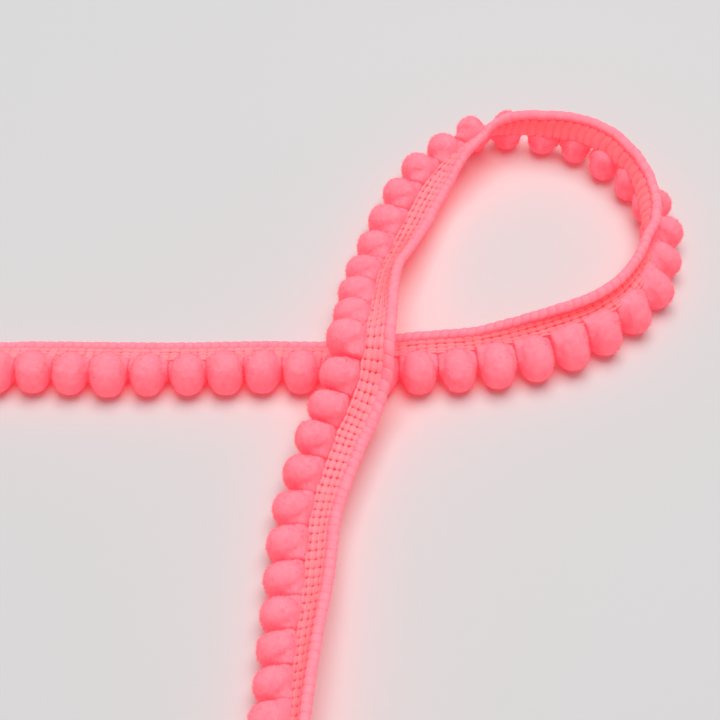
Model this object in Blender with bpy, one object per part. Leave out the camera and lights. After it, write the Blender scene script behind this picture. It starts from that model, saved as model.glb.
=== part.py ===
"""Cut length of mini pompom trim, lying in a loop that crosses over itself.

Two kinds of piece: one knitted tape, with a rolled selvedge along one side, and a row of
small velvety pompoms held along its other side. The row of pompoms rests on the floor,
z = 0. Sizes below are in millimetres, and the meshes are written in metres.
"""

import math

import bpy
import bmesh
import numpy as np
from mathutils import Vector

MM = 0.001

# ---- driving dimensions, in millimetres and degrees ----

FLOOR = 0.0                # height of the surface that the trim lies on

POMPOM_COUNT = 52
POMPOM_ALONG = 2.60        # half size of a free pompom along the tape
POMPOM_ACROSS = 3.00       # half size across the row, level with the floor
POMPOM_HEIGHT = 3.22       # half size upwards, before the floor flattens it
POMPOM_GAP = 0.30          # clear space between neighbours in the row
BARREL_POWER = 0.78        # below 1 the ball is fuller, like a short barrel
SIZE_SPREAD = 0.025        # largest share by which one pompom differs from the next
SPREAD_SEED = 11

SHOULDER_ALONG = -0.60     # direction of the small bound corner, in the pompom's own frame:
SHOULDER_ACROSS = 0.66     # back along the row, towards the tape, and up its face
SHOULDER_UP = 0.45
SHOULDER_RISE = 0.70       # how far the corner stands proud of the ball
SHOULDER_REACH = 0.66      # cosine of the half angle over which it fades out

SEGMENTS_ROUND = 12        # sides of a pompom around the row's line
RINGS_ALONG = 7            # rings of a pompom from pole to pole

COURSES_PER_POMPOM = 4     # knitted courses from one pompom to the next
TAPE_OFFSET = 3.60         # from the row's centre line to the tape's bound edge
TAPE_WIDTH = 3.95          # across the tape, along its curved face
BINDING_REACH = 0.50       # how far the edge reaches in between two pompoms
END_LENGTH = 0.5           # tape beyond the first and last pompom, in pompom spacings
DIRECTION_STEP = 0.05      # share of a pompom spacing over which the route's direction is read

# Tape section, bound edge to selvedge and back. Columns: place across, height off its middle.
TAPE_SECTION = (
    (0.00, 0.36),
    (1.20, 0.50),
    (2.15, 0.48),
    (2.50, 0.72),
    (3.00, 1.00),
    (3.60, 0.88),
    (3.95, 0.22),
    (3.70, -0.44),
    (3.10, -0.62),
    (1.20, -0.50),
    (0.00, -0.16),
)

# The lie of the trim. Columns: number of the pompom, then the place of its centre, then how
# far the tape leans up from level on the row's left-hand side, and the angle its width curls.
ROUTE_COLUMNS = ("pompom", "x", "y", "z", "lean", "curl")
ROUTE = (
    (1.0, -62.2, -4.7, 2.95, -21.0, 25.0),
    (4.0, -46.2, -4.6, 2.95, -17.0, 25.0),
    (6.0, -35.6, -5.1, 2.95, -14.0, 25.0),
    (8.0, -24.3, -5.0, 2.95, -15.0, 25.0),
    (10.0, -13.8, -4.5, 2.95, -17.0, 30.0),
    (12.0, -2.8, -4.8, 2.95, -14.0, 30.0),
    (14.0, 8.3, -4.9, 2.95, 4.0, 50.0),
    (16.0, 19.5, -3.9, 2.95, 13.0, 75.0),
    (17.0, 25.0, -2.7, 2.95, 30.0, 95.0),
    (19.0, 34.8, 2.0, 2.95, 62.0, 105.0),
    (21.0, 43.0, 10.5, 2.95, 70.0, 95.0),
    (22.0, 44.8, 16.0, 2.95, 89.8, 85.0),
    (23.0, 45.7, 21.6, 2.95, 124.8, 65.0),
    (24.0, 44.6, 27.2, 2.95, 129.0, 45.0),
    (25.0, 41.9, 32.3, 2.95, 115.6, 37.0),
    (26.0, 38.4, 36.8, 2.95, 121.5, 35.0),
    (27.0, 34.1, 40.5, 2.95, 120.0, 33.0),
    (28.0, 28.9, 42.7, 2.95, 109.9, 35.0),
    (29.0, 23.2, 43.8, 2.95, 95.7, 43.0),
    (30.0, 17.6, 42.8, 2.95, 64.4, 50.0),
    (31.0, 13.1, 39.0, 2.95, 53.0, 48.0),
    (32.0, 9.0, 34.8, 2.95, 27.7, 45.0),
    (34.0, 3.9, 23.9, 2.95, 24.9, 45.0),
    (35.0, 2.2, 18.5, 3.15, 37.9, 45.0),
    (36.0, 0.5, 13.1, 3.80, 48.0, 45.0),
    (37.0, -0.5, 7.5, 5.30, 46.6, 45.0),
    (38.0, -1.2, 1.8, 7.40, 41.1, 45.0),
    (39.0, -2.0, -3.7, 9.50, 27.4, 35.0),
    (40.0, -3.1, -8.8, 7.90, -11.9, 30.0),
    (42.0, -6.3, -17.4, 4.90, 7.5, 30.0),
    (44.0, -9.0, -27.9, 3.25, 28.1, 40.0),
    (46.0, -9.8, -38.7, 2.95, 37.4, 50.0),
    (48.0, -10.4, -48.8, 2.95, 53.7, 60.0),
    (50.0, -10.9, -58.6, 2.95, 64.7, 70.0),
    (52.0, -11.4, -68.8, 2.95, 68.8, 75.0),
)

# How the tape is held to the balls. Columns: number of the pompom, the share of the tape's
# lean that the ball takes too, and how far from the ball's centre the tape turns away from it.
HINGE_COLUMNS = ("pompom", "share", "distance")
HINGE = (
    (1.0, 1.00, 2.60),
    (20.0, 1.00, 2.60),
    (22.0, 0.50, 3.33),
    (23.0, 0.22, 3.66),
    (24.0, 0.38, 3.75),
    (25.0, 0.63, 3.78),
    (26.0, 0.62, 3.87),
    (27.0, 0.54, 3.93),
    (28.0, 0.48, 3.90),
    (29.0, 0.43, 3.72),
    (30.0, 0.51, 3.43),
    (31.0, 0.46, 3.07),
    (52.0, 0.35, 2.75),
)

# Finish: base colour, roughness.
POMPOM_FINISH = ((0.95, 0.17, 0.22, 1.0), 0.85)
TAPE_FINISH = ((0.95, 0.15, 0.19, 1.0), 0.75)


# ---- the lie of the trim ----

def route_at(station):
    """Row of the route at any pompom number, on one smooth curve through the table."""
    table = np.array(ROUTE)
    knots = table[:, ROUTE_COLUMNS.index("pompom")]
    rows = table[:, 1:]
    spans = np.diff(knots)[:, None]
    slopes = np.diff(rows, axis=0) / spans
    tangents = np.empty_like(rows)
    tangents[1:-1] = (slopes[:-1] * spans[1:] + slopes[1:] * spans[:-1]) / (spans[1:] + spans[:-1])
    tangents[0] = slopes[0]
    tangents[-1] = slopes[-1]
    if station <= knots[0]:
        return rows[0] + tangents[0] * (station - knots[0])
    if station >= knots[-1]:
        return rows[-1] + tangents[-1] * (station - knots[-1])
    i = int(np.searchsorted(knots, station, side="right")) - 1
    span = spans[i, 0]
    u = (station - knots[i]) / span
    leaving = (2 * u**3 - 3 * u**2 + 1) * rows[i] + (u**3 - 2 * u**2 + u) * span * tangents[i]
    arriving = (3 * u**2 - 2 * u**3) * rows[i + 1] + (u**3 - u**2) * span * tangents[i + 1]
    return leaving + arriving


def hinge_at(station):
    """Share of the tape's lean that a ball takes, and the hinge's distance from its centre."""
    table = np.array(HINGE)
    numbers = table[:, HINGE_COLUMNS.index("pompom")]
    share = np.interp(station, numbers, table[:, HINGE_COLUMNS.index("share")])
    distance = np.interp(station, numbers, table[:, HINGE_COLUMNS.index("distance")])
    return float(share), float(distance)


def frame_at(station):
    """Centre of the row, its direction, its level left side, its up, and lean and curl."""
    here = dict(zip(ROUTE_COLUMNS[1:], route_at(station)))
    ahead = route_at(station + DIRECTION_STEP)
    behind = route_at(station - DIRECTION_STEP)
    centre = Vector((here["x"], here["y"], here["z"]))
    along = Vector(ahead[:3] - behind[:3]).normalized()
    left = Vector((-along.y, along.x, 0.0)).normalized()
    up = along.cross(left).normalized()
    return centre, along, left, up, math.radians(here["lean"]), math.radians(here["curl"])


# ---- meshes ----

def new_object(name, bm, material, shift):
    """Make one named object from a bmesh in millimetres, moved and scaled to metres."""
    for vert in bm.verts:
        vert.co = (vert.co + shift) * MM
    if bm.calc_volume(signed=True) < 0.0:
        bmesh.ops.reverse_faces(bm, faces=bm.faces)
    mesh = bpy.data.meshes.new(name)
    bm.to_mesh(mesh)
    bm.free()
    mesh.shade_smooth()
    mesh.set_sharp_from_angle(angle=math.radians(50))
    mesh.materials.append(material)
    part = bpy.data.objects.new(name, mesh)
    bpy.context.collection.objects.link(part)
    return part


def finish(name, colour, roughness):
    """Principled material with one colour and roughness."""
    material = bpy.data.materials.new(name)
    material.use_nodes = True
    shader = material.node_tree.nodes["Principled BSDF"]
    shader.inputs["Base Color"].default_value = colour
    shader.inputs["Roughness"].default_value = roughness
    shader.inputs["Metallic"].default_value = 0.0
    return material


def tape_ring(station, binding):
    """Points of the tape's section at one course; binding is 1 between two pompoms, else 0."""
    centre, along, left, up, lean, curl = frame_at(station)
    radius = TAPE_WIDTH / curl
    chord = 2.0 * radius * math.sin(curl / 2.0)
    out = left * math.cos(lean) + up * math.sin(lean)
    over = up * math.cos(lean) - left * math.sin(lean)
    share, distance = hinge_at(station)
    hinge = centre + (left * math.cos(lean * share) + up * math.sin(lean * share)) * distance
    ring = []
    for across, height in TAPE_SECTION:
        # the width follows an arc whose chord runs from the bound edge to the selvedge
        angle = curl * (across / TAPE_WIDTH - 0.5)
        reach = chord / 2.0 + radius * math.sin(angle)
        sag = radius * (math.cos(curl / 2.0) - math.cos(angle))
        if across == 0.0:
            reach -= BINDING_REACH * binding
        point = hinge + out * (TAPE_OFFSET - distance + reach - height * math.sin(angle))
        point = point + over * (sag + height * math.cos(angle))
        point.z = max(point.z, FLOOR)
        ring.append(point)
    return ring


def build_tape():
    """Tape as one closed band: a ring of points for each course, joined ring to ring."""
    first = 1.0 - END_LENGTH
    courses = round((POMPOM_COUNT - 1 + 2 * END_LENGTH) * COURSES_PER_POMPOM)
    bm = bmesh.new()
    previous = None
    for course in range(courses + 1):
        station = first + course / COURSES_PER_POMPOM
        between = abs(station - math.floor(station) - 0.5) < 0.01
        inside = 0 < course < courses
        points = tape_ring(station, 1.0 if between and inside else 0.0)
        ring = [bm.verts.new(point) for point in points]
        if previous is None:
            bm.faces.new(list(reversed(ring)))
        else:
            count = len(ring)
            for i in range(count):
                j = (i + 1) % count
                bm.faces.new((previous[i], previous[j], ring[j], ring[i]))
        previous = ring
    bm.faces.new(previous)
    return bm


def build_pompom(number, share):
    """Pompom as a short barrel of pile, with its bound corner and its flat on the floor."""
    centre, along, left, up, lean, _ = frame_at(float(number))
    before = frame_at(number - 1.0)[0]
    after = frame_at(number + 1.0)[0]
    spacing = min((centre - before).length, (after - centre).length)
    half_along = min(POMPOM_ALONG * share, (spacing - POMPOM_GAP) / 2.0)
    half_across = POMPOM_ACROSS * share
    half_height = POMPOM_HEIGHT * share
    lean *= hinge_at(float(number))[0]
    out = left * math.cos(lean) + up * math.sin(lean)
    over = up * math.cos(lean) - left * math.sin(lean)
    corner = (along * SHOULDER_ALONG + out * SHOULDER_ACROSS + over * SHOULDER_UP).normalized()

    bm = bmesh.new()
    bmesh.ops.create_uvsphere(bm, u_segments=SEGMENTS_ROUND, v_segments=RINGS_ALONG, radius=1.0)
    half_side = math.pi / SEGMENTS_ROUND
    for vert in bm.verts:
        # the sphere's poles lie along the row, and one of its sides faces the floor
        level = vert.co.z
        round_size = math.hypot(vert.co.x, vert.co.y)
        turn = math.atan2(vert.co.y, vert.co.x) + half_side
        lengthways = math.copysign(abs(level) ** BARREL_POWER, level)
        girth = round_size ** BARREL_POWER
        sideways = girth * math.cos(turn)
        upwards = girth * math.sin(turn)
        spot = along * (lengthways * half_along)
        spot = spot + left * (sideways * half_across) + up * (upwards * half_height)
        nearness = (spot.normalized().dot(corner) - SHOULDER_REACH) / (1.0 - SHOULDER_REACH)
        if nearness > 0.0:
            spot = spot + corner * (SHOULDER_RISE * nearness)
        spot = centre + spot
        spot.z = max(spot.z, FLOOR)
        vert.co = spot
    return bm


def bounds(meshes):
    """Lowest and highest corner of several bmeshes."""
    low = Vector((math.inf, math.inf, math.inf))
    high = -low
    for bm in meshes:
        for vert in bm.verts:
            low = Vector(map(min, low, vert.co))
            high = Vector(map(max, high, vert.co))
    return low, high


def main():
    for old in list(bpy.data.objects):
        bpy.data.objects.remove(old, do_unlink=True)

    spread = np.random.default_rng(SPREAD_SEED)
    shares = 1.0 + spread.uniform(-SIZE_SPREAD, SIZE_SPREAD, POMPOM_COUNT)
    tape = build_tape()
    pompoms = [build_pompom(i + 1, shares[i]) for i in range(POMPOM_COUNT)]

    # the origin is under the middle of the whole trim, on the floor
    low, high = bounds([tape] + pompoms)
    shift = Vector((-(low.x + high.x) / 2.0, -(low.y + high.y) / 2.0, -low.z))

    tape_finish = finish("tape_yarn", *TAPE_FINISH)
    pompom_finish = finish("pompom_pile", *POMPOM_FINISH)
    new_object("knitted_tape", tape, tape_finish, shift)
    for i, bm in enumerate(pompoms):
        new_object(f"pompom_{i + 1:02d}", bm, pompom_finish, shift)


main()
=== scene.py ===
# %% [markdown]
# # A looped length of mini pompom trim
#
# The trim is two things: a narrow knitted tape with a rolled edge, and a row of small velvety
# pompoms bound to its other edge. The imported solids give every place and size. Here each of
# them gets its surface: pile on the pompoms, stitches on the tape. The whole trim is thin and
# repeats itself, so almost everything is made flat and straight once, and then bent to the
# lie of the trim.

# %% Load the frame
import math

import bpy
import numpy as np
from mathutils import Matrix, Vector


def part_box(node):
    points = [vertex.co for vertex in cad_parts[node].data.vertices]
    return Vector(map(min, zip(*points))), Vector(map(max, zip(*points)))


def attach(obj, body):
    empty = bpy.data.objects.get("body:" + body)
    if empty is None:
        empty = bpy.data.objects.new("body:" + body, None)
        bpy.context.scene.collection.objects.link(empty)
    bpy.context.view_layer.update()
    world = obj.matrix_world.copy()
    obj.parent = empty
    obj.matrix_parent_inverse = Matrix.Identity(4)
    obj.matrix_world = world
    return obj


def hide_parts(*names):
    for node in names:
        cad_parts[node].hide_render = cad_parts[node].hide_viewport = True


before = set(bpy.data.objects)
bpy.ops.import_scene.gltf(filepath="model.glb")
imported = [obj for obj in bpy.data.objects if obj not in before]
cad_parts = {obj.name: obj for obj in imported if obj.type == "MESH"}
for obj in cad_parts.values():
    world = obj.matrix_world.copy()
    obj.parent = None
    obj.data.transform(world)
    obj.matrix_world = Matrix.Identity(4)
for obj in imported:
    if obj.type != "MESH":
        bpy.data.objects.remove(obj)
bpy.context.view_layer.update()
MM = 0.001

# %% [markdown]
# ## Camera, floor and light
#
# A small soft thing is shown from close by with a long lens, so that nothing is stretched.
# The light is one large soft panel above and a little behind, with an even pale surround: it
# models the round pompoms gently and leaves only a soft shadow under them.

# %% Camera
LOOK_POINT = Vector((8.175, 12.442, 0.0)) * MM
CAMERA_HEIGHT_ANGLE = math.radians(52.0)
CAMERA_DISTANCE = 252.0 * MM
SENSOR = 36.0                  # Blender takes both of these in millimetres
LENS = 87.5
NEAR_CLIP = 5.0 * MM

camera_data = bpy.data.cameras.new("camera")
camera_data.sensor_width = SENSOR
camera_data.lens = LENS
camera_data.clip_start = NEAR_CLIP
camera = bpy.data.objects.new("camera", camera_data)
bpy.context.collection.objects.link(camera)
back = Vector((0.0, -math.cos(CAMERA_HEIGHT_ANGLE), math.sin(CAMERA_HEIGHT_ANGLE)))
camera.location = LOOK_POINT + back * CAMERA_DISTANCE
camera.rotation_euler = (math.pi / 2.0 - CAMERA_HEIGHT_ANGLE, 0.0, 0.0)
bpy.context.scene.camera = camera
print("camera at", [round(x / MM, 1) for x in camera.location], "mm")

# %% Floor and lights
FLOOR_SIZE = 4.0
PANEL_SIZE = 0.60
PANEL_PLACE = Vector((0.05, 0.10, 0.74))
PANEL_POWER = 4.5
PANEL_COLOUR = (1.0, 0.985, 0.975)
SURROUND_STRENGTH = 0.30
SURROUND_COLOUR = (1.0, 0.995, 1.0, 1.0)


def select_only(*objects):
    """Leave these objects selected and nothing else; the first one becomes active."""
    bpy.ops.object.select_all(action="DESELECT")
    for one in objects:
        one.select_set(True)
    bpy.context.view_layer.objects.active = objects[0]


bpy.ops.object.select_all(action="DESELECT")
bpy.ops.mesh.primitive_plane_add(size=FLOOR_SIZE, location=(0.0, 0.0, 0.0))
floor = bpy.context.object
floor.name = "floor"

bpy.ops.object.light_add(type="AREA", location=PANEL_PLACE)
panel = bpy.context.object
panel.name = "soft_panel"
panel.data.shape = "SQUARE"
panel.data.size = PANEL_SIZE
panel.data.energy = PANEL_POWER
panel.data.color = PANEL_COLOUR
panel.rotation_euler = (-PANEL_PLACE).to_track_quat("-Z", "Y").to_euler()

surround = bpy.data.worlds.new("surround")
surround.use_nodes = True
background = surround.node_tree.nodes["Background"]
background.inputs["Color"].default_value = SURROUND_COLOUR
background.inputs["Strength"].default_value = SURROUND_STRENGTH
bpy.context.scene.world = surround
bpy.context.scene.view_settings.view_transform = "Standard"
print("panel", PANEL_SIZE, "m wide,", round(PANEL_PLACE.length, 2), "m away")

# %% [markdown]
# ## The lie of the trim
#
# The tape is a strip, and a strip is easiest to knit when it lies flat. So everything on it is
# placed by three numbers: the station, which counts pompoms along the row, the distance across
# the tape from its bound edge, and the height above its middle. One function bends these three
# to the real lie, and it uses the same two tables as the solids. The first says where the row
# of pompoms runs, how far the tape leans up beside it, and how much its width curls. The second
# is about the join. Where the tape leans over, the pompoms tip with it by only a share of its
# lean, and at some distance from them the tape turns away, as on a hinge.

# %% Route
# Columns: number of the pompom, its centre in millimetres, lean and curl of the tape in degrees.
ROUTE = np.array((
    (1.0, -62.2, -4.7, 2.95, -21.0, 25.0),
    (4.0, -46.2, -4.6, 2.95, -17.0, 25.0),
    (6.0, -35.6, -5.1, 2.95, -14.0, 25.0),
    (8.0, -24.3, -5.0, 2.95, -15.0, 25.0),
    (10.0, -13.8, -4.5, 2.95, -17.0, 30.0),
    (12.0, -2.8, -4.8, 2.95, -14.0, 30.0),
    (14.0, 8.3, -4.9, 2.95, 4.0, 50.0),
    (16.0, 19.5, -3.9, 2.95, 13.0, 75.0),
    (17.0, 25.0, -2.7, 2.95, 30.0, 95.0),
    (19.0, 34.8, 2.0, 2.95, 62.0, 105.0),
    (21.0, 43.0, 10.5, 2.95, 70.0, 95.0),
    (22.0, 44.8, 16.0, 2.95, 89.8, 85.0),
    (23.0, 45.7, 21.6, 2.95, 124.8, 65.0),
    (24.0, 44.6, 27.2, 2.95, 129.0, 45.0),
    (25.0, 41.9, 32.3, 2.95, 115.6, 37.0),
    (26.0, 38.4, 36.8, 2.95, 121.5, 35.0),
    (27.0, 34.1, 40.5, 2.95, 120.0, 33.0),
    (28.0, 28.9, 42.7, 2.95, 109.9, 35.0),
    (29.0, 23.2, 43.8, 2.95, 95.7, 43.0),
    (30.0, 17.6, 42.8, 2.95, 64.4, 50.0),
    (31.0, 13.1, 39.0, 2.95, 53.0, 48.0),
    (32.0, 9.0, 34.8, 2.95, 27.7, 45.0),
    (34.0, 3.9, 23.9, 2.95, 24.9, 45.0),
    (35.0, 2.2, 18.5, 3.15, 37.9, 45.0),
    (36.0, 0.5, 13.1, 3.80, 48.0, 45.0),
    (37.0, -0.5, 7.5, 5.30, 46.6, 45.0),
    (38.0, -1.2, 1.8, 7.40, 41.1, 45.0),
    (39.0, -2.0, -3.7, 9.50, 27.4, 35.0),
    (40.0, -3.1, -8.8, 7.90, -11.9, 30.0),
    (42.0, -6.3, -17.4, 4.90, 7.5, 30.0),
    (44.0, -9.0, -27.9, 3.25, 28.1, 40.0),
    (46.0, -9.8, -38.7, 2.95, 37.4, 50.0),
    (48.0, -10.4, -48.8, 2.95, 53.7, 60.0),
    (50.0, -10.9, -58.6, 2.95, 64.7, 70.0),
    (52.0, -11.4, -68.8, 2.95, 68.8, 75.0),
))
ROUTE_SHIFT = np.array((8.175, 12.442, 0.0))   # from the table's places to the part's own
POMPOM_COUNT = 52
# Columns: number of the pompom, share of the tape's lean that the pompom takes too, and how many
# millimetres from the pompom's centre the tape turns away from it.
HINGES = np.array((
    (1.0, 1.00, 2.60),
    (20.0, 1.00, 2.60),
    (22.0, 0.50, 3.33),
    (23.0, 0.22, 3.66),
    (24.0, 0.38, 3.75),
    (25.0, 0.63, 3.78),
    (26.0, 0.62, 3.87),
    (27.0, 0.54, 3.93),
    (28.0, 0.48, 3.90),
    (29.0, 0.43, 3.72),
    (30.0, 0.51, 3.43),
    (31.0, 0.46, 3.07),
    (52.0, 0.35, 2.75),
))
print("rows of the route:", len(ROUTE), "and of the hinges:", len(HINGES))

# %% Places along the route
DIRECTION_STEP = 0.05          # stations to each side, to find the direction of the row


def route_at(stations):
    """Rows of the route at many stations, on one smooth curve through the table."""
    knots = ROUTE[:, 0]
    rows = ROUTE[:, 1:]
    spans = np.diff(knots)[:, None]
    slopes = np.diff(rows, axis=0) / spans
    tangents = np.empty_like(rows)
    tangents[1:-1] = (slopes[:-1] * spans[1:] + slopes[1:] * spans[:-1]) / (spans[1:] + spans[:-1])
    tangents[0] = slopes[0]
    tangents[-1] = slopes[-1]
    inside = np.clip(stations, knots[0], knots[-1])
    i = np.clip(np.searchsorted(knots, inside, side="right") - 1, 0, len(knots) - 2)
    span = spans[i]
    u = ((inside - knots[i]) / span[:, 0])[:, None]
    leaving = (2 * u**3 - 3 * u**2 + 1) * rows[i] + (u**3 - 2 * u**2 + u) * span * tangents[i]
    arriving = (3 * u**2 - 2 * u**3) * rows[i + 1] + (u**3 - u**2) * span * tangents[i + 1]
    beyond = (stations - inside)[:, None]
    ends = np.where(beyond < 0.0, tangents[0], tangents[-1])
    return leaving + arriving + ends * beyond


def unit(vectors):
    """The same vectors at length 1."""
    return vectors / np.linalg.norm(vectors, axis=1)[:, None]


def hinge_at(stations):
    """How much of the tape's lean the pompoms take, and how far off the tape hinges."""
    return [np.interp(stations, HINGES[:, 0], HINGES[:, k]) for k in (1, 2)]


def frames_at(stations):
    """Centre, direction, level left side and up of the row, then lean and curl in radians."""
    stations = np.asarray(stations, float)
    here = route_at(stations)
    along = unit(route_at(stations + DIRECTION_STEP)[:, :3]
                 - route_at(stations - DIRECTION_STEP)[:, :3])
    left = unit(np.column_stack((-along[:, 1], along[:, 0], np.zeros(len(along)))))
    up = np.cross(along, left)
    return here[:, :3] + ROUTE_SHIFT, along, left, up, np.radians(here[:, 3]), np.radians(here[:, 4])


middle, *_ = frames_at([16.0])
low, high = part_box("pompom_16")
print("pompom 16 is centred at", middle[0].round(2), "mm, and its solid from",
      [round(x / MM, 2) for x in low], "to", [round(x / MM, 2) for x in high])

# %% Bend flat work to the lie
TAPE_OFFSET = 3.60             # millimetres from a pompom's centre to the tape's bound edge
TAPE_WIDTH = 3.95              # millimetres of the tape's width that share its curl


def bend(station, across, height):
    """Places in metres of points on the tape, from station, and millimetres across and high."""
    centre, _, left, up, lean, curl = frames_at(station)
    share, distance = hinge_at(station)
    hinged = (lean * share)[:, None]
    lean = lean[:, None]
    hinge = centre + (left * np.cos(hinged) + up * np.sin(hinged)) * distance[:, None]
    out = left * np.cos(lean) + up * np.sin(lean)
    over = up * np.cos(lean) - left * np.sin(lean)
    radius = TAPE_WIDTH / curl
    bound = np.minimum(across, 0.0)            # what lies under the pompoms stays straight
    angle = curl * ((across - bound) / TAPE_WIDTH - 0.5)
    reach = radius * (np.sin(curl / 2.0) + np.sin(angle)) + bound * np.cos(angle) - height * np.sin(angle)
    rise = radius * (np.cos(curl / 2.0) - np.cos(angle)) + bound * np.sin(angle) + height * np.cos(angle)
    places = hinge + out * (TAPE_OFFSET - distance + reach)[:, None] + over * rise[:, None]
    return places * MM


at_crossing = bend(np.array([39.0]), np.array([3.3]), np.array([0.9]))[0]
print("the rolled edge at the crossing is at", (at_crossing / MM).round(1), "mm")

# %% [markdown]
# ## A short way to write materials
#
# A material is a small program of nodes. Written node by node it is long and hard to read, so
# one class wraps a value that comes out of a node, and lets Python's own signs add the Math
# nodes. Every other kind of node comes from one method, which takes the node's type, its
# settings and what goes into its sockets.

# %% A value that varies over a surface
class Value:
    """A number that varies over a surface, with the operators that a mask needs."""

    def __init__(self, finish, socket):
        self.finish = finish
        self.socket = socket

    def math(self, operation, *values):
        node = self.finish.node("ShaderNodeMath", {"operation": operation}, dict(enumerate(values)))
        return Value(self.finish, node.outputs[0])

    def __add__(self, other):
        return self.math("ADD", self, other)

    def __sub__(self, other):
        return self.math("SUBTRACT", self, other)

    def __mul__(self, other):
        return self.math("MULTIPLY", self, other)

    def sine(self):
        return self.math("SINE", self)

    __radd__ = __add__
    __rmul__ = __mul__


print("values can be added, subtracted, multiplied and waved")

# %% A material in the making
class Finish:
    """A material in the making: its node tree and its one Principled shader."""

    def __init__(self, name):
        self.material = bpy.data.materials.new(name)
        self.material.use_nodes = True
        self.tree = self.material.node_tree
        self.shader = self.tree.nodes["Principled BSDF"]

    def node(self, kind, settings=None, sockets=None):
        """A new node: its settings first, then a value or a link for each socket."""
        node = self.tree.nodes.new(kind)
        for name, setting in (settings or {}).items():
            setattr(node, name, setting)
        for name, value in (sockets or {}).items():
            self.feed(node.inputs[name], value)
        return node

    def feed(self, socket, value):
        """Link a varying value to a socket, or set a plain one on it."""
        if isinstance(value, Value):
            value = value.socket
        if isinstance(value, bpy.types.NodeSocket):
            self.tree.links.new(value, socket)
        else:
            socket.default_value = value

    def noise(self, place, scale, detail, roughness=0.5):
        """Soft random mottling, from 0 to 1."""
        sockets = {"Vector": place, "Scale": scale, "Detail": detail, "Roughness": roughness}
        return Value(self, self.node("ShaderNodeTexNoise", None, sockets).outputs[0])

    def attribute(self, name):
        """A varying number that the mesh itself carries."""
        return Value(self, self.node("ShaderNodeAttribute", {"attribute_name": name}).outputs["Fac"])

    def span(self, value, low, high):
        """The value stretched so that low becomes 0 and high becomes 1, and held there."""
        sockets = {"Value": value, "From Min": low, "From Max": high}
        node = self.node("ShaderNodeMapRange", {"clamp": True}, sockets)
        return Value(self, node.outputs["Result"])

    def blend(self, share, first, second):
        """Two colours mixed by a share from 0 to 1."""
        sockets = {0: share, 6: first, 7: second}      # 1 to 5 are for numbers and vectors
        return self.node("ShaderNodeMix", {"data_type": "RGBA"}, sockets).outputs[2]

    def relief(self, height, distance, strength):
        """Fine relief from a height between 0 and 1; distance is its real depth in metres."""
        sockets = {"Height": height, "Distance": distance, "Strength": strength}
        self.feed(self.shader.inputs["Normal"], self.node("ShaderNodeBump", None, sockets).outputs[0])

    def set(self, **constants):
        """Constants on the shader's own sockets; an underscore stands for a space."""
        for name, value in constants.items():
            self.shader.inputs[name.replace("_", " ")].default_value = value


print("shader helpers ready")

# %% [markdown]
# ## The neon yarn
#
# Neon dye takes in blue and green light and gives it back as orange-red. So even the deepest
# gap between two pompoms is a bright saturated red, and the floor beside the trim turns pink.
# A plain colour can't do that: the yarn also gets a weak red light of its own. The tape is thin,
# and light goes through it too and comes out beneath, so the yarn on its back shines more where
# that happens. The pile and the knitting are the same dye, but the pile is matt velvet, and the
# smooth knitting yarn is a little lighter and pinker. Inside a fold, shade is painted into the
# yarn as a deeper red.

# %% Finish of the pile
GLOW = (1.0, 0.022, 0.045, 1.0)
GLOW_STRENGTH = 0.50
PILE_COLOURS = ((0.98, 0.280, 0.355, 1.0), (0.98, 0.345, 0.435, 1.0))
PILE_SHEEN = (1.0, 0.62, 0.72, 1.0)
PILE_COMBED = (0.35, 1.0, 1.0)       # the streaks of the pile are longer along the row
PILE_RELIEF = 0.10 * MM

pile = Finish("pile_velvet")
place = pile.node("ShaderNodeTexCoord").outputs["Object"]
rest = pile.node("ShaderNodeAttribute", {"attribute_name": "pile_rest"}).outputs["Vector"]
combed = pile.node("ShaderNodeMapping", None, {"Vector": rest, "Scale": PILE_COMBED}).outputs[0]
strands = pile.noise(combed, 3.2, 3.0, 0.6)      # about three streaks to a millimetre
tips = pile.noise(rest, 11.0, 2.0, 0.6)          # single cut tips
patches = pile.noise(place, 420.0, 2.0)          # soft patches of two or three millimetres
tone = pile.span(strands * 0.45 + tips * 0.25 + patches * 0.3, 0.38, 0.62)
pile.feed(pile.shader.inputs["Base Color"], pile.blend(tone, *PILE_COLOURS))
pile.feed(pile.shader.inputs["Roughness"], 0.82 + 0.12 * tips)
pile.relief(strands * 0.5 + tips * 0.5, PILE_RELIEF, 0.6)
pile.set(Emission_Color=GLOW, Emission_Strength=GLOW_STRENGTH, Specular_IOR_Level=0.12,
         Sheen_Weight=0.35, Sheen_Roughness=0.45, Sheen_Tint=PILE_SHEEN)
print("made", pile.material.name, "with", len(pile.tree.nodes), "nodes")

# %% Finish of the knitting yarn
TURN = 2.0 * math.pi
UNDERSIDE_GLOW = 1.0           # at most, where light that went through the cloth comes out
GLOW_FAINT = tuple(0.3 * channel for channel in GLOW[:3]) + (1.0,)     # and where none does
FILAMENTS = 6.0                # side by side round a yarn
# painted shade: the deeper red that the yarn gets inside a fold
YARN_FOLD_SHADE = (0.97, 0.185, 0.195, 1.0)
YARN_SHEEN = (1.0, 0.7, 0.78, 1.0)
YARN_RELIEF = 0.03 * MM
STITCH_COLOURS = ((0.98, 0.300, 0.340, 1.0), (0.98, 0.390, 0.445, 1.0))
EDGE_COLOURS = ((0.98, 0.270, 0.345, 1.0), (0.98, 0.360, 0.450, 1.0))
FLOAT_COLOURS = ((0.98, 0.305, 0.350, 1.0), (0.98, 0.410, 0.475, 1.0))


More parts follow.
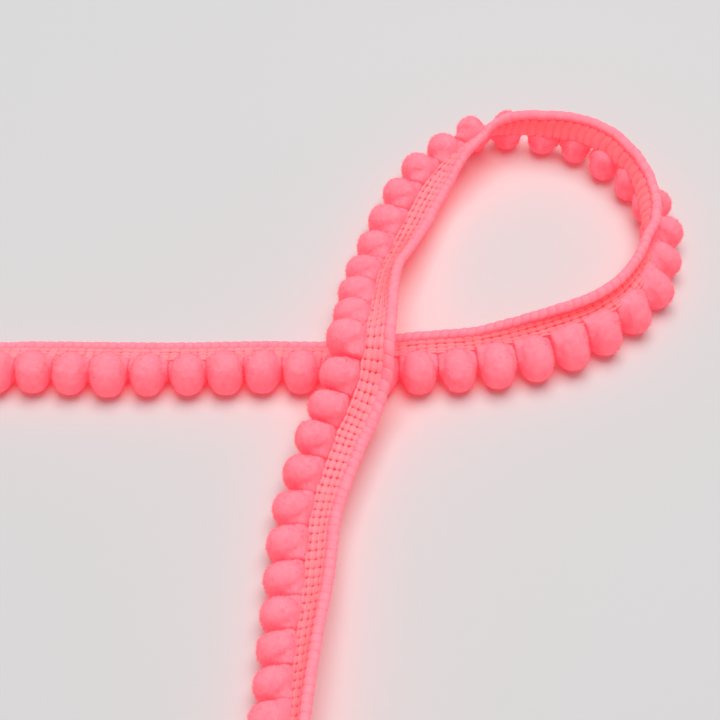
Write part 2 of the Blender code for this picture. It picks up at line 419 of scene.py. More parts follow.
def yarn_finish(name, dark, light, twist, glow, through_light=False):
    """Smooth twisted yarn: fine slanting filaments along its own length, and soft mottling.

    The mesh's attribute depth says how much painted fold shade, a deeper red, the yarn gets, and
    with through_light its attribute underlit says where light that went through the cloth comes out."""
    made = Finish(name)
    where = made.node("ShaderNodeTexCoord").outputs["Object"]
    lie = made.node("ShaderNodeUVMap", {"uv_map": "yarn_map"}).outputs[0]
    split = made.node("ShaderNodeSeparateXYZ", None, {0: lie}).outputs
    lengthways = Value(made, split[0])
    round_it = Value(made, split[1])
    filaments = ((lengthways * twist + round_it * FILAMENTS) * TURN).sine() * 0.5 + 0.5
    mottled = made.noise(where, 900.0, 3.0, 0.6)
    shade = made.span(mottled * 0.75 + filaments * 0.25, 0.30, 0.70)
    in_the_open = made.blend(shade, dark, light)
    # Painted shade: where the attribute depth marks a fold, the yarn turns a deeper red.
    made.feed(made.shader.inputs["Base Color"],
              made.blend(made.attribute("depth"), in_the_open, YARN_FOLD_SHADE))
    made.feed(made.shader.inputs["Roughness"], 0.62 + 0.2 * mottled)
    made.relief(filaments * 0.7 + mottled * 0.3, YARN_RELIEF, 0.7)
    made.set(Emission_Color=GLOW, Emission_Strength=glow, Specular_IOR_Level=0.25,
             Sheen_Weight=0.2, Sheen_Roughness=0.5, Sheen_Tint=YARN_SHEEN)
    if through_light:
        made.feed(made.shader.inputs["Emission Color"],
                  made.blend(made.attribute("underlit"), GLOW_FAINT, GLOW))
    return made.material


stitch_yarn = yarn_finish("stitch_yarn", *STITCH_COLOURS, twist=3.0, glow=GLOW_STRENGTH)
edge_yarn = yarn_finish("edge_yarn", *EDGE_COLOURS, twist=4.0, glow=GLOW_STRENGTH)
float_yarn = yarn_finish("float_yarn", *FLOAT_COLOURS, twist=3.0, glow=UNDERSIDE_GLOW, through_light=True)
print("made", stitch_yarn.name, edge_yarn.name, "and", float_yarn.name)

# %% Finish of the tape's ground and of the floor
GROUND_AND_SHADE_COLOURS = ((0.98, 0.200, 0.220, 1.0), (0.91, 0.080, 0.085, 1.0))    # in the open, and the deep red of painted shade in openings, crease and folds
FLOOR_COLOURS = ((0.725, 0.725, 0.735, 1.0), (0.745, 0.745, 0.750, 1.0))
GROUND_RELIEF = 0.05 * MM

ground_finish = Finish("tape_ground")
place = ground_finish.node("ShaderNodeTexCoord").outputs["Object"]
# Painted shade: the ground turns deep red in its openings, its crease and its folds, where the attribute
# depth says, mottled by fluff.
depth = ground_finish.attribute("depth")
fluff = ground_finish.noise(place, 2600.0, 3.0, 0.65)
painted_shade_and_fluff = ground_finish.span(depth + (fluff - 0.5) * 0.3, 0.0, 1.0)
ground_finish.feed(ground_finish.shader.inputs["Base Color"], ground_finish.blend(painted_shade_and_fluff, *GROUND_AND_SHADE_COLOURS))
ground_finish.feed(ground_finish.shader.inputs["Roughness"], 0.75 + 0.15 * fluff)
ground_finish.relief(fluff, GROUND_RELIEF, 0.6)
ground_finish.set(Emission_Color=GLOW, Emission_Strength=GLOW_STRENGTH, Specular_IOR_Level=0.15)

floor_finish = Finish("floor_paper")
place = floor_finish.node("ShaderNodeTexCoord").outputs["Object"]
cloudy = floor_finish.noise(place, 9.0, 2.0)
floor_finish.feed(floor_finish.shader.inputs["Base Color"], floor_finish.blend(cloudy, *FLOOR_COLOURS))
floor_finish.set(Roughness=0.9, Specular_IOR_Level=0.1)
floor.data.materials.append(floor_finish.material)
print("made", ground_finish.material.name, "and", floor_finish.material.name)

# %% Objects from plain numbers
def mesh_piece(name, places, faces, material, lie=None):
    """An object from points in metres and faces, smooth shaded, with an optional yarn map."""
    mesh = bpy.data.meshes.new(name)
    mesh.from_pydata(places.tolist(), [], faces)
    mesh.shade_smooth()
    if lie is not None:
        corners = np.empty(len(mesh.loops), np.int32)
        mesh.loops.foreach_get("vertex_index", corners)
        mesh.uv_layers.new(name="yarn_map").data.foreach_set("uv", lie[corners].astype(np.float32).ravel())
    mesh.materials.append(material)
    piece = bpy.data.objects.new(name, mesh)
    bpy.context.collection.objects.link(piece)
    return piece


def places_of(mesh):
    """The places of all points of a mesh, in metres, one row each."""
    flat = np.empty(len(mesh.vertices) * 3, np.float32)
    mesh.vertices.foreach_get("co", flat)
    return flat.reshape(-1, 3)


def mark(mesh, name, values):
    """Store a number or a vector for each point of a mesh, where a finish can read it."""
    kind, field = ("FLOAT", "value") if values.ndim == 1 else ("FLOAT_VECTOR", "vector")
    mesh.attributes.new(name, kind, "POINT")
    mesh.attributes[name].data.foreach_set(field, values.astype(np.float32).ravel())


def keep_above_floor(piece):
    """Nothing of a piece reaches below the surface that the trim lies on."""
    places = places_of(piece.data)
    places[:, 2] = np.maximum(places[:, 2], 0.0)
    piece.data.vertices.foreach_set("co", places.ravel())


print("mesh helpers ready")

# %% [markdown]
# ## The pompoms
#
# Each ball is a thick bundle of fine soft fibre that is bound to the tape on one side and then
# trimmed round, so it is no sphere. It is a full short barrel across the row, and it runs on
# towards the tape, where it has a small shoulder at one corner. The shape is modelled once from
# a cube that is rounded off. Every pompom of the row is then a copy with its own mesh, turned to
# its place, pressed flat on the floor and against its neighbours, and given its own tufts.
# Drawing every fibre would make millions of faces that nobody can see at this size. So the
# combed pile is a soft relief in the mesh, with finer relief in its finish, and only the loose
# fibres on top of it are drawn one by one.

# %% Two ways to edit a shape
def select_where(wanted):
    """Select just those points of the shape in hand whose place passes a test."""
    bpy.ops.mesh.select_all(action="DESELECT")
    bpy.ops.object.mode_set(mode="OBJECT")
    for vert in bpy.context.object.data.vertices:
        vert.select = wanted(vert.co)
    bpy.ops.object.mode_set(mode="EDIT")


def pull(direction, amount, reach):
    """Drag the point that lies furthest in a direction, and its surroundings with it."""
    bpy.ops.mesh.select_all(action="DESELECT")
    bpy.ops.object.mode_set(mode="OBJECT")
    verts = bpy.context.object.data.vertices
    furthest = max(verts, key=lambda v: v.co.dot(direction))
    furthest.select = True
    bpy.ops.object.mode_set(mode="EDIT")
    bpy.ops.transform.translate(value=direction * amount, use_proportional_edit=True,
                                proportional_edit_falloff="SMOOTH", proportional_size=reach)


print("points can be selected by a test, and dragged")

# %% Model one pompom
POMPOM_ALONG = 2.52            # half sizes in millimetres, along the row and away from it
POMPOM_OUT = 2.90
POMPOM_CELLS = 24              # faces along each edge of the cube
ROUNDNESS = 0.90               # a little of the cube is left, which makes the ball fuller
TAPE_SIDE_STRETCH = 1.20       # the half towards the tape runs on until it meets the tape
TAPE_SIDE_SPREAD = 1.85        # and it is wide enough there to meet its neighbours
TAPE_SIDE_FADE = 1.2 * MM
TAPE_SIDE_FROM = 1.1 * MM      # that wide part starts here, towards the tape,
TAPE_SIDE_LOW = -1.0 * MM      # and lies between these two heights
TAPE_SIDE_HIGH = 0.4 * MM
SHOULDER = Vector((-0.60, 0.80, 0.0)).normalized()
SHOULDER_PULL = 0.25 * MM
SHOULDER_REACH = 2.0 * MM
SMOOTH_SHARE = 0.5
SMOOTH_ROUNDS = 4
MIDDLE = (0.0, 0.0, 0.0)

bpy.ops.object.select_all(action="DESELECT")
bpy.ops.mesh.primitive_cube_add(size=2.0 * POMPOM_OUT * MM, location=MIDDLE)
model_pompom = bpy.context.object
model_pompom.name = "model_pompom"
bpy.ops.object.mode_set(mode="EDIT")
bpy.ops.mesh.select_mode(type="VERT")
bpy.ops.mesh.subdivide(number_cuts=POMPOM_CELLS - 1)
bpy.ops.mesh.select_all(action="SELECT")
bpy.ops.transform.tosphere(value=ROUNDNESS)
bpy.ops.object.mode_set(mode="OBJECT")
half_sizes = (POMPOM_ALONG, POMPOM_OUT, POMPOM_OUT)
grow = [2.0 * half * MM / now for half, now in zip(half_sizes, model_pompom.dimensions)]
bpy.ops.object.mode_set(mode="EDIT")
bpy.ops.mesh.select_all(action="SELECT")
bpy.ops.transform.resize(value=grow)

select_where(lambda co: co.y > 0.0)
bpy.ops.transform.resize(value=(1.0, TAPE_SIDE_STRETCH, 1.0), center_override=MIDDLE)
select_where(lambda co: co.y > TAPE_SIDE_FROM and TAPE_SIDE_LOW < co.z < TAPE_SIDE_HIGH)
bpy.ops.transform.resize(value=(TAPE_SIDE_SPREAD, 1.0, 1.0), center_override=MIDDLE,
                         use_proportional_edit=True, proportional_edit_falloff="SMOOTH",
                         proportional_size=TAPE_SIDE_FADE)
pull(SHOULDER, SHOULDER_PULL, SHOULDER_REACH)
bpy.ops.mesh.select_all(action="SELECT")
bpy.ops.mesh.vertices_smooth(factor=SMOOTH_SHARE, repeat=SMOOTH_ROUNDS)
bpy.ops.object.mode_set(mode="OBJECT")
print("one pompom:", len(model_pompom.data.polygons), "faces,",
      [round(x / MM, 2) for x in model_pompom.dimensions], "mm")

# %% Pile on it
STRAND_SIZE = 0.55 * MM        # of the combed streaks, and of the tufts
TUFT_SIZE = 1.9 * MM

# The finish reads each point's place on this first pompom, in millimetres, also from the copies.
mark(model_pompom.data, "pile_rest", places_of(model_pompom.data) / MM)
model_pompom.data.materials.append(pile.material)
model_pompom.data.shade_smooth()

strand_relief = bpy.data.textures.new("strand_relief", "CLOUDS")
strand_relief.noise_scale = STRAND_SIZE
strand_relief.noise_depth = 2
tuft_relief = bpy.data.textures.new("tuft_relief", "CLOUDS")
tuft_relief.noise_scale = TUFT_SIZE
tuft_relief.noise_depth = 1
print("reliefs of", STRAND_SIZE / MM, "and", TUFT_SIZE / MM, "mm for the pile")

# %% How the pompoms differ
# Columns of the tables: number of the pompom, and what its size is multiplied by there. REACHES
# is for the half towards the tape, out to it. SLIMS and SPREADS are for the size along the row,
# of the free side and of the side at the tape. WIDTHS is for the whole size away from the row.
REACHES = ((1.0, 1.0), (14.0, 1.03), (18.0, 1.20), (23.0, 1.20), (31.0, 1.04), (52.0, 0.98))
SLIMS = ((1.0, 0.97), (14.0, 0.96), (18.0, 0.90), (24.0, 0.80), (29.0, 0.78), (31.0, 0.94), (52.0, 0.97))
WIDTHS = ((1.0, 0.97), (12.0, 0.97), (22.0, 0.92), (30.0, 0.88), (52.0, 0.90))
SPREADS = ((1.0, 1.0), (22.0, 1.0), (24.5, 0.55), (29.5, 0.55), (31.0, 0.90), (52.0, 1.0))
SEED = 11
SIZE_RANGE = 0.035
TWIST_RANGE = 0.16             # radians


def look_up(table, stations):
    """The value of a table at any stations, straight between its rows."""
    return np.interp(stations, *zip(*table))


numbers = np.arange(1, POMPOM_COUNT + 1)
reaches, slims, widths, spreads = (look_up(table, numbers) for table in (REACHES, SLIMS, WIDTHS, SPREADS))
uprights = hinge_at(numbers)[0]
chance = np.random.default_rng(SEED)
sizes = 1.0 + chance.uniform(-SIZE_RANGE, SIZE_RANGE, POMPOM_COUNT)
twists = chance.uniform(-TWIST_RANGE, TWIST_RANGE, (POMPOM_COUNT, 3))     # the third isn't used
print("sizes from", sizes.min().round(3), "to", sizes.max().round(3))

# %% Press and roughen a pompom
PRESS_SOFTNESS = 0.35          # over how many millimetres the pile gives way


def press(places, towards, limit):
    """Hold points back softly, so that none goes further than limit along a direction."""
    far = places @ towards
    start = limit - PRESS_SOFTNESS
    squeezed = limit - PRESS_SOFTNESS * np.exp(-np.maximum(far - start, 0.0) / PRESS_SOFTNESS)
    held = np.where(far > start, squeezed, far)
    return places + np.outer(held - far, towards)


def roughen(piece, texture, depth, place, stretch):
    """Raise the pile by a relief that has its own place, and is longer along the row."""
    guide = bpy.data.objects.new("guide", None)
    bpy.context.collection.objects.link(guide)
    guide.matrix_world = place @ Matrix.Diagonal((stretch, 1.0, 1.0, 1.0))
    bpy.context.view_layer.update()
    relief = piece.modifiers.new("relief", "DISPLACE")
    relief.texture = texture
    relief.texture_coords = "OBJECT"
    relief.texture_coords_object = guide
    relief.strength = depth
    relief.mid_level = 0.5
    select_only(piece)
    bpy.ops.object.modifier_apply(modifier="relief")
    bpy.data.objects.remove(guide)


print("the pile gives way over", PRESS_SOFTNESS, "mm")

# %% Copy the pompom along the row
POMPOM_HEIGHT_SHARE = 1.06     # the pile stands a little higher than it is wide
NEIGHBOUR_GAP = 0.04           # left between two pompoms that press on each other
SLIM_AT_CENTRE = 0.5           # share of the slimming at the centre; all of it is on the free side,
SLIM_FADE = 4.8                # and it comes and goes over these millimetres
SPREAD_START = 0.2             # the side at the tape starts here, outwards from the centre,
SPREAD_FADE = 1.2              # and is all there after these millimetres more
TUFT_DEPTH = 0.15 * MM
STRAND_DEPTH = 0.11 * MM
STRAND_STRETCH = 3.0
DOWN = np.array((0.0, 0.0, -1.0))


def make_pompom(number):
    """A copy of the pompom, turned and sized to its place, and pressed by what it touches."""
    centres, along, left, up, lean, _ = frames_at([number - 1.0, number, number + 1.0])
    centre, along, left, up = centres[1], along[1], left[1], up[1]
    lean = lean[1] * uprights[number - 1]
    out = left * math.cos(lean) + up * math.sin(lean)
    over = up * math.cos(lean) - left * math.sin(lean)
    size = sizes[number - 1]

    copy = model_pompom.copy()
    copy.data = model_pompom.data.copy()
    copy.name = f"pompom_pile_{number:02d}"
    bpy.context.collection.objects.link(copy)
    turned = Matrix(np.column_stack((along, out, over)).tolist()).to_4x4()
    tip, swing = twists[number - 1, :2]
    wobble = Matrix.Rotation(tip, 4, "X") @ Matrix.Rotation(swing, 4, "Z")
    place = Matrix.Translation(Vector(centre) * MM) @ turned
    width = widths[number - 1]
    copy.data.transform(place @ wobble @ Matrix.Diagonal((size, size * width, size, 1.0)))

    places = places_of(copy.data).astype(float) / MM - centre
    places += np.outer(np.clip(places @ out, 0.0, None) * (reaches[number - 1] - 1.0), out)
    places += np.outer(places @ up * (POMPOM_HEIGHT_SHARE - 1.0), up)
    outer = np.clip(SLIM_AT_CENTRE - places @ out / SLIM_FADE, 0.0, 1.0)
    places += np.outer(places @ along * outer * (slims[number - 1] - 1.0), along)
    inner = np.clip((places @ out - SPREAD_START) / SPREAD_FADE, 0.0, 1.0)
    places += np.outer(places @ along * inner * (spreads[number - 1] - 1.0), along)
    for neighbour in (centres[0], centres[2]):
        towards = neighbour - centre
        distance = np.linalg.norm(towards)
        places = press(places, towards / distance, (distance - NEIGHBOUR_GAP) / 2.0)
    places = press(places, DOWN, centre[2])
    copy.data.vertices.foreach_set("co", ((places + centre) * MM).astype(np.float32).ravel())
    roughen(copy, tuft_relief, TUFT_DEPTH, place, 1.0)
    roughen(copy, strand_relief, STRAND_DEPTH, place, STRAND_STRETCH)
    return copy


pompoms = []
for number in range(1, POMPOM_COUNT + 1):
    pompom = make_pompom(number)
    keep_above_floor(pompom)
    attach(pompom, "root")
    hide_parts(f"pompom_{number:02d}")
    pompoms.append(pompom)
bpy.data.objects.remove(model_pompom)
print("the row has", len(pompoms), "pompoms and",
      sum(len(p.data.polygons) for p in pompoms), "faces")

# %% [markdown]
# ## Loose fibres of the pile
#
# A cut pile never ends in one clean surface: the tips of its fibres stand a little apart, which
# makes the edge of every ball soft. A couple of thousand single fibres on each ball are enough
# for that. Each is one slim triangle that starts in the pile and lies mostly along the row, as
# the pile was combed. It borrows the ball's own surface direction for its shading, so that it
# melts into the pile and shows only at the edge and as a faint streak.

# %% Grow loose fibres
FIBRES = 2400                    # on each pompom
FIBRE_LENGTHS = (0.25, 0.60)     # millimetres
FIBRE_WIDTH = 0.055
FIBRE_ROOT = 0.05                # how deep in the pile a fibre starts
FIBRE_STAND = 0.55               # share of the surface direction in a fibre's own direction
FIBRE_COMBED = (0.2, 1.0)        # and the range of the combed direction's share
COMB_SCATTER = 0.55              # how far the fibres stray from the direction of the row
FLAT_SCATTER = 0.3               # and how far their flat sides turn out of the surface


def grow_fibres(pompom, number):
    """Corners, shading directions and unbent places of the loose fibres of one pompom."""
    mesh = pompom.data
    places = places_of(mesh).astype(float) / MM
    flat = np.empty(len(mesh.vertices) * 3, np.float32)
    mesh.attributes["pile_rest"].data.foreach_get("vector", flat)
    unbent = flat.reshape(-1, 3).astype(float)
    corners = np.array([polygon.vertices[:] for polygon in mesh.polygons])
    facing = np.array([polygon.normal[:] for polygon in mesh.polygons])
    areas = np.array([polygon.area for polygon in mesh.polygons])
    picked = chance.choice(len(areas), FIBRES, p=areas / areas.sum())
    u, v = chance.uniform(0.0, 1.0, (2, FIBRES))
    shares = np.column_stack(((1.0 - u) * (1.0 - v), u * (1.0 - v), u * v, (1.0 - u) * v))[:, :, None]
    root = (places[corners[picked]] * shares).sum(1)
    rest = (unbent[corners[picked]] * shares).sum(1)
    up = facing[picked]
    along = frames_at([float(number)])[1]
    row_way = along * chance.choice((-1.0, 1.0), FIBRES)[:, None]
    combed = row_way + chance.normal(0.0, COMB_SCATTER, (FIBRES, 3))
    combed = unit(combed - up * (combed * up).sum(1)[:, None])
    direction = unit(up * FIBRE_STAND + combed * chance.uniform(*FIBRE_COMBED, FIBRES)[:, None])
    turned = up + chance.normal(0.0, FLAT_SCATTER, (FIBRES, 3))
    side = unit(np.cross(direction, turned)) * FIBRE_WIDTH / 2.0
    length = chance.uniform(*FIBRE_LENGTHS, FIBRES)[:, None]
    root = root - up * FIBRE_ROOT
    points = np.stack((root - side, root + side, root + direction * length), axis=1)
    return points.reshape(-1, 3), np.repeat(up, 3, axis=0), np.repeat(rest, 3, axis=0)


grown = [grow_fibres(pompom, number) for number, pompom in enumerate(pompoms, 1)]
points, ups, rests = (np.concatenate([part[k] for part in grown]) for k in range(3))
triangles = np.arange(len(points)).reshape(-1, 3).tolist()
fibres = mesh_piece("pile_fibres", points * MM, triangles, pile.material)
mark(fibres.data, "pile_rest", rests)
fibres.data.normals_split_custom_set_from_vertices(ups.tolist())
keep_above_floor(fibres)
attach(fibres, "root")
print("fibres:", len(fibres.data.polygons))

# %% [markdown]
# ## The tape's ground
#
# The tape is knitted: chains of stitches run along it, and laid yarn holds each chain to the
# next. Seen from above it is a fine grid with a small dark opening between every two chains and
# every two courses. The ground is the closed body of the cloth under the stitches: one thin band
# with a fat rolled edge. Between two courses it has a shallow groove on its face, a low ridge on
# its back and a hollow at every opening. It is made as rings, one after another along the trim,
# and each ring is bent to the lie. The hollows, the crease along the roll and the folds also go
# into an attribute, which the finish uses for a painted shade there: a deeper red.

# %% Section of the ground
# Across the tape and above its middle, in millimetres, from the bound edge over the roll.
GROUND_SECTION = np.array((
    (-0.82, 0.02), (-0.66, 0.20), (-0.36, 0.32), (0.00, 0.32), (0.60, 0.32), (1.20, 0.32),
    (1.80, 0.32), (2.12, 0.22), (2.30, 0.02), (2.46, 0.30), (2.76, 0.58), (3.18, 0.66), (3.50, 0.46),
    (3.62, 0.06), (3.48, -0.30), (3.12, -0.42), (2.70, -0.36), (2.20, -0.30), (1.60, -0.28),
    (1.00, -0.28), (0.40, -0.28), (0.00, -0.28), (-0.36, -0.26), (-0.66, -0.18),
))
SECTION_POINTS = 56


def lengths_along(points):
    """How far along a path each of its points is."""
    return np.concatenate(([0.0], np.cumsum(np.linalg.norm(np.diff(points, axis=0), axis=1))))


def closed_curve(points, count):
    """Evenly spread points on a smooth closed curve through the given ones."""
    fine = []
    total = len(points)
    for i in range(total):
        a, b, c, d = (points[(i + k) % total] for k in (-1, 0, 1, 2))
        for t in np.arange(0.0, 1.0, 0.05):
            fine.append(0.5 * (2 * b + (c - a) * t + (2 * a - 5 * b + 4 * c - d) * t**2
                               + (3 * b - a - 3 * c + d) * t**3))
    fine = np.array(fine + [fine[0]])
    steps = lengths_along(fine)
    wanted = np.linspace(0.0, steps[-1], count, endpoint=False)
    return np.column_stack([np.interp(wanted, steps, fine[:, k]) for k in (0, 1)])


section = closed_curve(GROUND_SECTION, SECTION_POINTS)
ahead = np.roll(section, -1, axis=0) - np.roll(section, 1, axis=0)
section_out = unit(np.column_stack((-ahead[:, 1], ahead[:, 0])))
print("the section is", section.min(0).round(2), "to", section.max(0).round(2), "mm")

# %% Painted shade where the tape is folded
# Columns: number of the pompom, and how deep a painted shade the tape gets there, deeper where it folds
# more closely over its own face.
FOLD_SHADES = ((1.0, 0.0), (8.0, 0.05), (12.0, 0.2), (15.0, 0.5), (17.0, 0.9), (19.0, 1.0), (21.5, 0.6),
         (24.0, 0.35), (26.0, 0.7), (27.5, 1.0), (29.2, 1.0), (30.2, 0.2), (32.0, 0.0), (34.0, 0.1),
         (35.0, 0.7), (37.0, 0.6), (38.0, 0.1), (42.0, 0.0), (45.0, 0.2), (48.0, 0.55), (52.0, 0.65))
FOLD_AT_EDGE = 0.45            # share of it at the bound edge,
FOLD_RISE = 1.6                # all of it from this far across the tape,
FOLD_END = 2.6                 # and none from here on, where the roll is,
FOLD_FADE = 0.3                # after a fade over these millimetres


def painted_fold_shade(station, across):
    """How much painted fold shade a point of the tape gets, from 0 in the open to 1."""
    shade_under_roll = FOLD_AT_EDGE + (1.0 - FOLD_AT_EDGE) * np.clip(across / FOLD_RISE, 0.0, 1.0)
    return look_up(FOLD_SHADES, station) * np.clip((FOLD_END - across) / FOLD_FADE, 0.0, 1.0) * shade_under_roll


print("fold at pompom 19, one millimetre across:", round(float(painted_fold_shade(19.0, 1.0)), 2))

# %% Hollows and rings
COURSES_PER_POMPOM = 4
FIRST_STATION = 0.5            # half a spacing before the first pompom, and as far past the last
LAST_STATION = POMPOM_COUNT + 0.5
COURSES = POMPOM_COUNT * COURSES_PER_POMPOM
WALE_PITCH = 0.90              # millimetres from one chain to the next
WALES = (-0.73, 0.17, 1.07, 1.97)      # where the chains run, across the tape
HOLLOW_WIDTH = 0.20
HOLLOW_SHARPNESS = 1.5


def hollows(course, across):
    """1 in the middle of each opening between two chains and two courses, 0 away from it."""
    between_courses = (0.5 + 0.5 * np.cos(TURN * course))**HOLLOW_SHARPNESS
    between_chains = sum(np.exp(-(((across - wale) / WALE_PITCH - 0.5) * WALE_PITCH / HOLLOW_WIDTH)**2)
                         for wale in WALES)
    return between_courses * np.clip(between_chains, 0.0, 1.0)


def rings_to_faces(rings, count):
    """Quads between rings of equal count, and a cap on each end."""
    faces = []
    for r in range(rings - 1):
        base, after = r * count, (r + 1) * count
        for i in range(count):
            j = (i + 1) % count
            faces.append((base + i, base + j, after + j, after + i))
    faces.append(tuple(range(count - 1, -1, -1)))
    faces.append(tuple(range((rings - 1) * count, rings * count)))
    return faces


print("courses:", COURSES, "and chains:", len(WALES))

# %% Make the ground
RINGS_PER_COURSE = 6
HOLLOW_DEPTH = 0.30            # depths, heights and places across the tape are in millimetres
GROOVE_DEPTH = 0.12
BACK_RIDGE = 0.05
CLOTH_HALF = 0.28              # half the thickness of the thin part
HOLLOWS_END = 2.6              # how far across the tape the hollows go,
GROOVES_END = 2.3              # the grooves on the face,
RIDGES_END = 2.9               # and the ridges on the back
CREASE_ACROSS = 2.30           # the crease between the thin part and the roll, darkened by painted shade
CREASE_WIDTH = 0.16
CREASE_SHADE_SHARE = 0.8             # how deep a red of painted shade it and the folds give the ground
FOLD_SHADE_SHARE = 0.45
# Columns: number of the pompom, and how deep a red of painted shade its openings get.
OPENING_SHADES = ((1.0, 0.8), (30.0, 0.8), (31.0, 0.4), (37.0, 0.4), (38.0, 0.9), (52.0, 0.9))

ring_count = COURSES * RINGS_PER_COURSE + 1
stations = np.linspace(FIRST_STATION, LAST_STATION, ring_count)
all_stations = np.repeat(stations, SECTION_POINTS)
across = np.tile(section[:, 0], ring_count)
height = np.tile(section[:, 1], ring_count)
course = (all_stations - FIRST_STATION) * COURSES_PER_POMPOM
opening = hollows(course, across) * (across < HOLLOWS_END)
ridge = 0.5 + 0.5 * np.cos(TURN * course)
on_back = np.clip(-height / CLOTH_HALF, 0.0, 1.0) * (across < RIDGES_END)
on_face = np.clip(height / CLOTH_HALF, 0.0, 1.0) * (across < GROOVES_END)
lift = BACK_RIDGE * ridge * on_back - HOLLOW_DEPTH * opening - GROOVE_DEPTH * ridge * on_face
across = across + lift * np.tile(section_out[:, 0], ring_count)
height = height + lift * np.tile(section_out[:, 1], ring_count)
ground = mesh_piece("tape_ground", bend(all_stations, across, height),
                    rings_to_faces(ring_count, SECTION_POINTS), ground_finish.material)
# Painted shade, stored as the attribute depth: deeper red in the crease under the roll, in the openings
# and in the folds.
crease_shade = np.exp(-((across - CREASE_ACROSS) / CREASE_WIDTH)**2) * (height > 0.0)
in_opening_shade = opening * look_up(OPENING_SHADES, all_stations)
in_fold_shade = FOLD_SHADE_SHARE * painted_fold_shade(all_stations, across)
mark(ground.data, "depth", np.maximum(np.maximum(in_opening_shade, CREASE_SHADE_SHARE * crease_shade), in_fold_shade))
print("ground:", len(ground.data.polygons), "faces")

# %% [markdown]
# ## Stitches
#
# A chain stitch shows as two plump legs that lie side by side and tuck under the next stitch.
# One leg is modelled as a short tapered tube and repeated left and right, for each chain and
# each course. A second, wider leg is for the last strand, where the tape lies spread. The same
# helper makes every other yarn of the tape from its own short path: the broad flat floats of the
# laid yarn on the back, and the fat slanting wraps that make the rolled edge look whipped.

# %% A short length of yarn
COURSE_LENGTH = 1.38           # millimetres from one course to the next
PATH_SCALE = np.array((COURSE_LENGTH, 1.0, 1.0))      # turns a row of a path into millimetres


def strand(path, thick, wide, sides, beside):
    """Points of a tapered tube along a short path, its faces, and its yarn map.

    The path's rows are course, across and height. Thick and wide are half sizes at each row,
    out of the cloth and along it. Beside is the direction that its wide side follows."""
    path = np.asarray(path, float)
    tangent = unit(np.gradient(path * PATH_SCALE, axis=0))
    out = unit(np.cross(tangent, beside))
    aside = np.cross(tangent, out)
    turn = np.linspace(0.0, TURN, sides, endpoint=False)
    rings = []
    for row in range(len(path)):
        offset = (np.outer(np.cos(turn), out[row]) * thick[row]
                  + np.outer(np.sin(turn), aside[row]) * wide[row])
        rings.append(path[row] + offset / PATH_SCALE)
    steps = lengths_along(path * PATH_SCALE)
    lie = np.column_stack((np.repeat(steps, sides), np.tile(turn / TURN, len(path))))
    return np.concatenate(rings), rings_to_faces(len(path), sides), lie


ALONG_COURSES = (1.0, 0.0, 0.0)
ACROSS_TAPE = (0.0, 1.0, 0.0)
LEG_THICK = 0.16 * np.array((0.80, 0.95, 1.00, 1.00, 0.95, 0.80))
LONG_LEG_WIDE = 0.275 * np.array((0.50, 0.88, 1.00, 1.00, 0.88, 0.50))
WIDE_LEG_WIDE = 0.350 * np.array((0.30, 0.78, 1.00, 1.00, 0.78, 0.30))
long_leg = strand([(-0.05, 0.11, 0.23), (0.12, 0.17, 0.29), (0.36, 0.20, 0.34), (0.64, 0.20, 0.34),
                   (0.88, 0.17, 0.29), (1.05, 0.11, 0.23)],
                  LEG_THICK, LONG_LEG_WIDE, sides=8, beside=ACROSS_TAPE)
wide_leg = strand([(-0.02, 0.07, 0.24), (0.14, 0.17, 0.29), (0.37, 0.22, 0.34), (0.63, 0.22, 0.34),
                   (0.86, 0.17, 0.29), (1.02, 0.07, 0.24)],
                  LEG_THICK, WIDE_LEG_WIDE, sides=8, beside=ACROSS_TAPE)
print("one leg of a stitch has", len(long_leg[1]), "faces")

# %% Knit with it
# Columns: number of the pompom, and share of the light that comes out on the tape's back there.
UNDERLIT = ((1.0, 0.3), (14.0, 0.3), (18.0, 0.0), (24.0, 0.0), (27.0, 0.35), (30.0, 0.8),
            (32.0, 1.0), (38.0, 1.0), (40.0, 0.6), (44.0, 0.5), (52.0, 0.5))
LOOSE_WAYS = (0.4, 0.6, 0.4)   # share of its looseness that a strand has in each direction


def knit(name, shapes, material, loose):
    """Repeat short strands over the tape, each a little out of place by chance.

    Shapes are rows of a strand, the courses that it starts at, and its shift across the tape."""
    every_place, every_face, every_lie = [], [], []
    total = 0
    for (points, faces, lie), starts, shift in shapes:
        for start in starts:
            if start + points[:, 0].max() > COURSES or start + points[:, 0].min() < 0.0:
                continue
            jitter = chance.uniform(-loose, loose, 3)
            flat = points + (start, shift, 0.0) + jitter * LOOSE_WAYS
            every_place.append(flat)
            every_face += [tuple(total + i for i in face) for face in faces]
            every_lie.append(lie)
            total += len(points)
    flat = np.concatenate(every_place)
    stations = FIRST_STATION + flat[:, 0] / COURSES_PER_POMPOM
    places = bend(stations, flat[:, 1], flat[:, 2])
    piece = mesh_piece(name, places, every_face, material, np.concatenate(every_lie))
    # Painted shade: the yarn's deeper red inside folds, stored as the attribute depth.
    mark(piece.data, "depth", painted_fold_shade(stations, flat[:, 1]))
    mark(piece.data, "underlit", look_up(UNDERLIT, stations))
    return piece


def mirrored(shape):
    """The other leg of a stitch: the same strand on the other side of the chain's middle."""
    points, faces, lie = shape
    return points * (1.0, -1.0, 1.0), [face[::-1] for face in faces], lie


SPREAD_COURSES = 150           # from here on the tape lies spread, and its stitches are wider
every_course = np.arange(0, COURSES)
chains = []
for leg, courses in ((long_leg, every_course[:SPREAD_COURSES]), (wide_leg, every_course[SPREAD_COURSES:])):
    for wale in WALES:
        chains.append((leg, courses, wale))
        if wale > WALES[0]:        # the other half of the first chain is bound into the pompoms
            chains.append((mirrored(leg), courses, wale))
stitches = knit("chain_stitches", chains, stitch_yarn, loose=0.10)
print("chain stitches:", len(stitches.data.polygons), "faces")

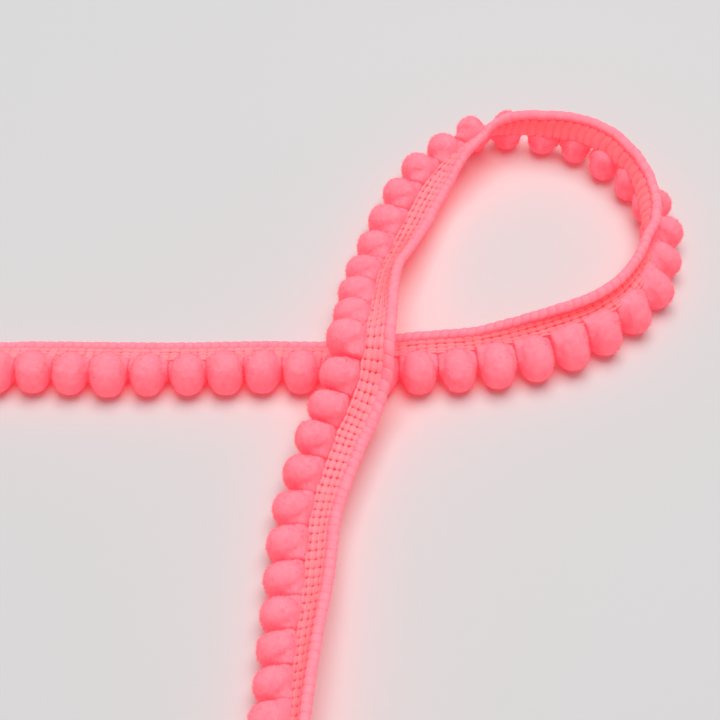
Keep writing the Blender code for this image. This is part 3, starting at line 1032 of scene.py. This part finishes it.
# %% The floats of the laid yarn on the back
FLOAT_TAPER = np.array((0.4, 0.9, 1.0, 1.0, 1.0, 0.9, 0.4))
FLOAT_THICK = 0.045
FLOAT_WIDE = 0.86              # wide enough that no gap is left between two of them
back_float = strand([(0.0, -0.70, -0.16), (0.10, -0.2, -0.30), (0.18, 0.5, -0.34), (0.10, 1.1, -0.34),
                     (-0.05, 1.7, -0.34), (-0.10, 2.2, -0.34), (0.0, 2.6, -0.34)],
                    FLOAT_THICK * FLOAT_TAPER, FLOAT_WIDE * FLOAT_TAPER, sides=6, beside=ALONG_COURSES)
floats = knit("back_floats", [(back_float, every_course, 0.0)], float_yarn, loose=0.05)
print("floats:", len(floats.data.polygons), "faces")

# %% The wraps of the rolled edge
WRAP_PATH = [(-0.16, 2.42, 0.00), (-0.14, 2.46, 0.28), (-0.08, 2.66, 0.50), (0.00, 3.00, 0.62),
             (0.08, 3.36, 0.54), (0.12, 3.62, 0.30), (0.16, 3.68, 0.00), (0.18, 3.48, -0.36),
             (0.20, 3.00, -0.50), (0.21, 2.56, -0.44)]
WRAP_THICK = np.array((0.24, 0.25, 0.25, 0.25, 0.25, 0.24, 0.22, 0.18, 0.16, 0.12))
PLUMP_WIDE = np.array((0.69, 0.73, 0.73, 0.73, 0.73, 0.74, 0.78, 0.84, 0.86, 0.70))
FLAT_WIDE = np.array((0.76, 0.81, 0.81, 0.81, 0.81, 0.82, 0.84, 0.88, 0.90, 0.72))
PLUMP_COURSES = 104            # from here on the trim was pulled, and its wraps lie flatter
plump_wrap = strand(WRAP_PATH, WRAP_THICK, PLUMP_WIDE, sides=10, beside=ALONG_COURSES)
flat_wrap = strand(WRAP_PATH, WRAP_THICK, FLAT_WIDE, sides=10, beside=ALONG_COURSES)
wraps = knit("selvedge_wraps", [(plump_wrap, every_course[:PLUMP_COURSES], 0.0),
                                (flat_wrap, every_course[PLUMP_COURSES:], 0.0)], edge_yarn, loose=0.06)
print("wraps:", len(wraps.data.polygons), "faces")

# %% [markdown]
# ## Ride and replace
#
# The tape is the one sheet of cloth here: a strip that is laid, not hung. Its stitches, floats
# and wraps lie on it and go where it goes. It rests on the whole row of pompoms. Each piece is
# kept above the floor and rides with the part, and the imported solid of the tape is hidden.

# %% Ride and replace
yarn_pieces = [stitches, floats, wraps]
for piece in [ground] + yarn_pieces:
    keep_above_floor(piece)
    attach(piece, "root")
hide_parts("knitted_tape")
